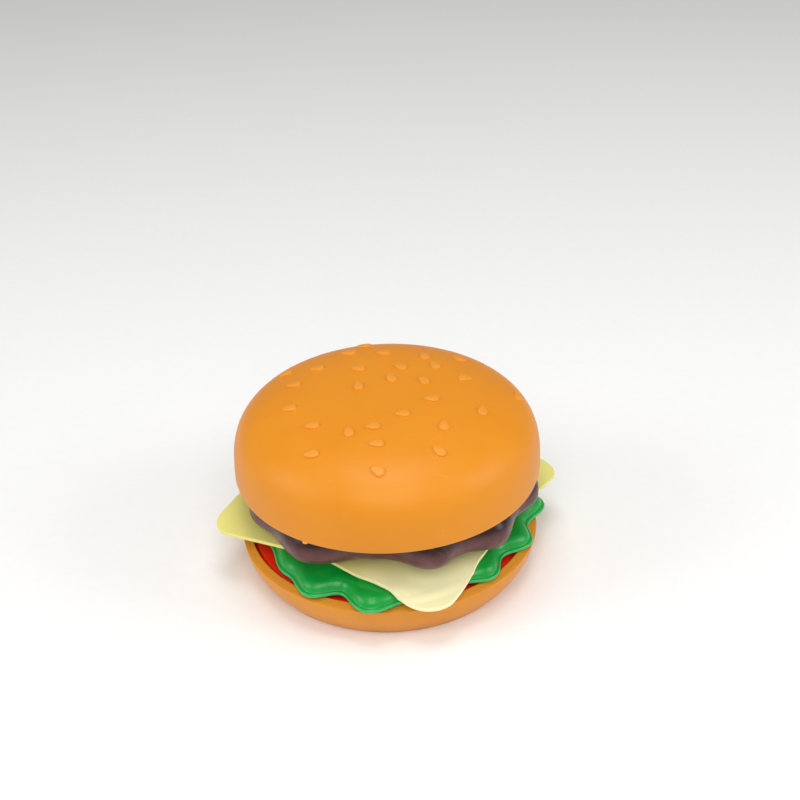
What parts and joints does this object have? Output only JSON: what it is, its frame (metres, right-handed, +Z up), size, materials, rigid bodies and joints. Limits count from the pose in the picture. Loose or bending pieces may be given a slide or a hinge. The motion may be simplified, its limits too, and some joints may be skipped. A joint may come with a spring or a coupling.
{
  "type": "play food hamburger",
  "caption": "Play-food hamburger of moulded plastic: loose bun halves, patty, cheese, lettuce and tomato layers that stack and lift apart.",
  "frame": {"origin": "centre of the bottom bun's flat base, on the surface that the toy stands on", "axes": "+Z up through the stack, -Y towards the front, where one corner of the cheese slice hangs down, +X to the right seen from the front"},
  "size_m": [0.1089, 0.1087, 0.0611],
  "materials": {
    "bottom_bun": "satin moulded polypropylene, toasted orange-brown",
    "tomato": "semi-gloss moulded plastic, bright red",
    "lettuce": "semi-gloss moulded plastic, leaf green",
    "cheese": "satin moulded plastic, pale yellow",
    "patty": "semi-gloss moulded plastic, dark brown",
    "top_bun": "satin moulded polypropylene, orange"
  },
  "bodies": {
    "bottom_bun": {"bottom_bun_shell": "bottom_bun", "bottom_bun_tray": "bottom_bun"},
    "tomato": {"tomato_slice": "tomato"},
    "lettuce": {"lettuce_leaf": "lettuce"},
    "cheese": {"cheese_slice": "cheese"},
    "patty": {"patty_shell": "patty", "patty_base": "patty"},
    "top_bun": {"top_bun_dome": "top_bun", "top_bun_plate": "top_bun"}
  },
  "joints": [
    {"name": "tomato_lift", "type": "slide", "parent": "bottom_bun", "child": "tomato", "axis": [0, 0, 1], "range_m": [0, 0.04]},
    {"name": "lettuce_lift", "type": "slide", "parent": "tomato", "child": "lettuce", "axis": [0, 0, 1], "range_m": [0, 0.04]},
    {"name": "cheese_lift", "type": "slide", "parent": "lettuce", "child": "cheese", "axis": [0, 0, 1], "range_m": [0, 0.04]},
    {"name": "patty_lift", "type": "slide", "parent": "cheese", "child": "patty", "axis": [0, 0, 1], "range_m": [0, 0.05]},
    {"name": "top_bun_lift", "type": "slide", "parent": "patty", "child": "top_bun", "axis": [0, 0, 1], "range_m": [0, 0.06]}
  ]
}
